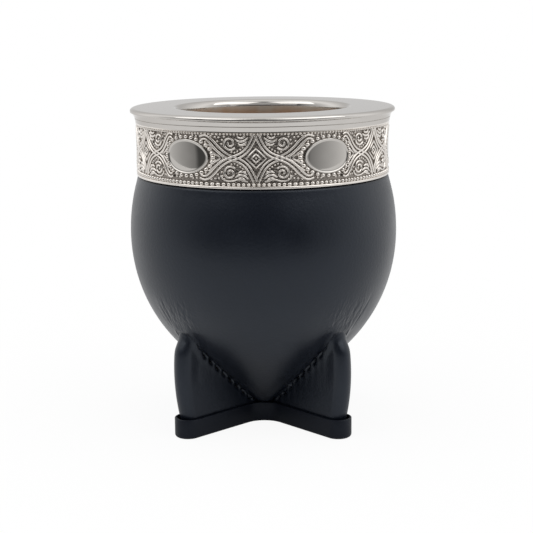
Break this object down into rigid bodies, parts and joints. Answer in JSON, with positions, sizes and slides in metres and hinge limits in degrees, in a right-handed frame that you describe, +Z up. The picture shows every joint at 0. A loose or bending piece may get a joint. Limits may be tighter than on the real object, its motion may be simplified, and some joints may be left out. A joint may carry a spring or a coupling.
{
  "type": "mate cup",
  "caption": "Round mate cup: a gourd in a black leather sheath with pinched fins on an X-shaped tray sole, under a wide polished nickel-silver rim with a chiselled band.",
  "frame": {"origin": "centre of the sole's underside, on the table", "axes": "+Z up along the cup's axis, -Y towards the picture's camera, the fins lie midway between X and Y"},
  "size_m": [0.0816, 0.0816, 0.097],
  "materials": {
    "polished_metal": "polished nickel silver",
    "chiselled_metal": "chiselled nickel silver with darkened recesses",
    "gourd_shell": "bare fibrous gourd",
    "black_leather": "smooth black leather, satin",
    "stiffener": "sole leather",
    "thread": "waxed black thread",
    "sole": "moulded, satin black"
  },
  "bodies": {
    "root": {"mouth_plate": "polished_metal", "flared_collar": "polished_metal", "chiselled_band": "chiselled_metal", "gourd": "gourd_shell", "leather_sheath": "black_leather", "foot_stiffener_front_left": "stiffener", "foot_stiffener_front_right": "stiffener", "foot_stiffener_back_right": "stiffener", "foot_stiffener_back_left": "stiffener", "seam_thread_front_left": "thread", "seam_thread_front_right": "thread", "seam_thread_back_right": "thread", "seam_thread_back_left": "thread", "sole": "sole"}
  },
  "joints": []
}
